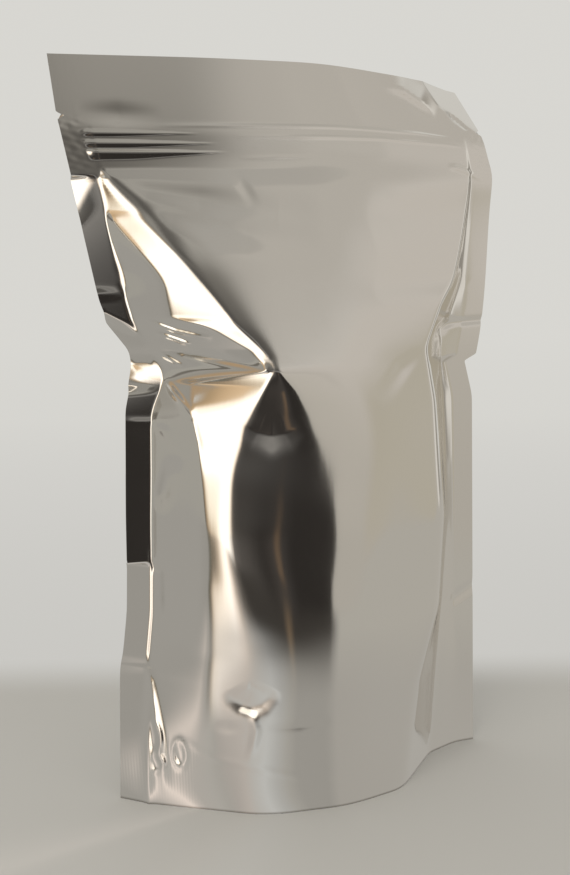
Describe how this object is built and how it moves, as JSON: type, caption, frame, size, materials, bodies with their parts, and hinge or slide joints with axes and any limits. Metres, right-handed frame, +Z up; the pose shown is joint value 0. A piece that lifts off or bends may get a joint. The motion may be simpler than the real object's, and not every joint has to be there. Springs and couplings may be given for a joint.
{
  "type": "foil zipper pouch",
  "caption": "Stand-up pouch of silver foil film, shut with a press-to-close zipper, with side seals, tear notches, creased front panels and an opened bottom gusset that it stands on.",
  "frame": {"origin": "on the floor under the middle of the pouch's box", "axes": "+Z up towards the header, +X to the right seen from the front, -Y towards the front panel"},
  "size_m": [0.1764, 0.078, 0.2758],
  "materials": {
    "foil": "bright satin metallised film"
  },
  "bodies": {
    "root": {"pouch": "foil"}
  },
  "joints": []
}
